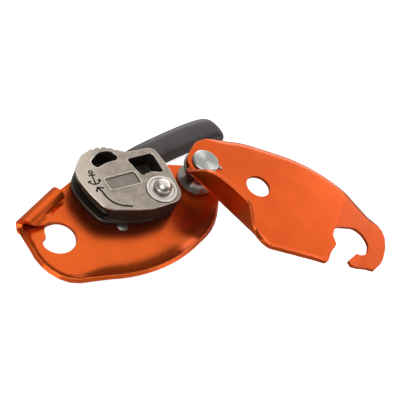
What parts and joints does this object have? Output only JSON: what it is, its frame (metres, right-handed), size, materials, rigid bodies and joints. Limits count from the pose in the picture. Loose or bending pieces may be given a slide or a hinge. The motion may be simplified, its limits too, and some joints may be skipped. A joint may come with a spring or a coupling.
{
  "type": "rope descender",
  "caption": "Self-braking rope descender with a grooved cam, a bollard, a curled back plate, a swing-open front plate with a hook, and a clutched handle.",
  "frame": {"origin": "on the cam axle's axis, at the flat rear face of the hub cover", "axes": "+X from the attachment eye towards the bollard along the back plate, +Z along the axle and normal to the plates, towards the cam and front plate"},
  "size_m": [0.3126, 0.238, 0.0852],
  "materials": {
    "anodised_plate": "orange anodised, satin",
    "cast_cam": "cast and tumbled, worn",
    "turned_steel": "turned",
    "blackened_steel": "blackened",
    "dark_alloy": "dark coated",
    "grip_plastic": "moulded, satin",
    "bearing_bronze": "plain"
  },
  "bodies": {
    "frame": {"back_plate": "anodised_plate", "bollard": "blackened_steel", "pivot_bolt": "turned_steel", "pivot_nut": "turned_steel", "rear_washer": "turned_steel", "stop_pin": "turned_steel", "axle_bush": "bearing_bronze", "trip_ring": "turned_steel"},
    "swing_washer": {"pivot_washer": "turned_steel"},
    "gate": {"front_plate": "anodised_plate", "pivot_dowel": "turned_steel"},
    "cam_unit": {"cam": "cast_cam", "cam_axle": "turned_steel", "cam_ring": "turned_steel", "drive_plate": "turned_steel", "axle_circlip": "turned_steel", "cam_spring": "turned_steel"},
    "handle": {"handle_lever": "dark_alloy", "handle_grip": "grip_plastic", "hub_cover": "dark_alloy", "cover_screw_1": "turned_steel", "cover_screw_2": "turned_steel", "cover_screw_3": "turned_steel", "pawl_pin": "turned_steel", "hub_washer": "bearing_bronze", "handle_spring": "turned_steel", "pawl_spring": "turned_steel"},
    "catch": {"pawl": "turned_steel"}
  },
  "joints": [
    {"name": "front_plate_swing", "type": "hinge", "parent": "frame", "child": "swing_washer", "pos_m": [0.0543, 0.0059, 0.056], "axis": [0, 0, 1], "range_deg": [-59.5, 44]},
    {"name": "front_plate_close", "type": "hinge", "parent": "swing_washer", "child": "gate", "pos_m": [0.0543, 0.0059, 0.056], "axis": [0, 0, 1], "range_deg": [-59.5, 0]},
    {"name": "cam_turn", "type": "hinge", "parent": "frame", "child": "cam_unit", "pos_m": [0, 0, 0.042], "axis": [0, 0, 1], "range_deg": [-36, 0], "stiffness_Nm_per_rad": 0.4, "springref_deg": 28.65},
    {"name": "handle_turn", "type": "hinge", "parent": "frame", "child": "handle", "pos_m": [0, 0, 0.011], "axis": [0, 0, 1], "range_deg": [0, 110], "stiffness_Nm_per_rad": 0.08, "springref_deg": -57.3},
    {"name": "pawl_tilt", "type": "hinge", "parent": "handle", "child": "catch", "pos_m": [0.00765, 0.01325, 0.0112], "axis": [0, 0, 1], "range_deg": [-12, 0], "stiffness_Nm_per_rad": 0.01, "springref_deg": 17.19}
  ]
}
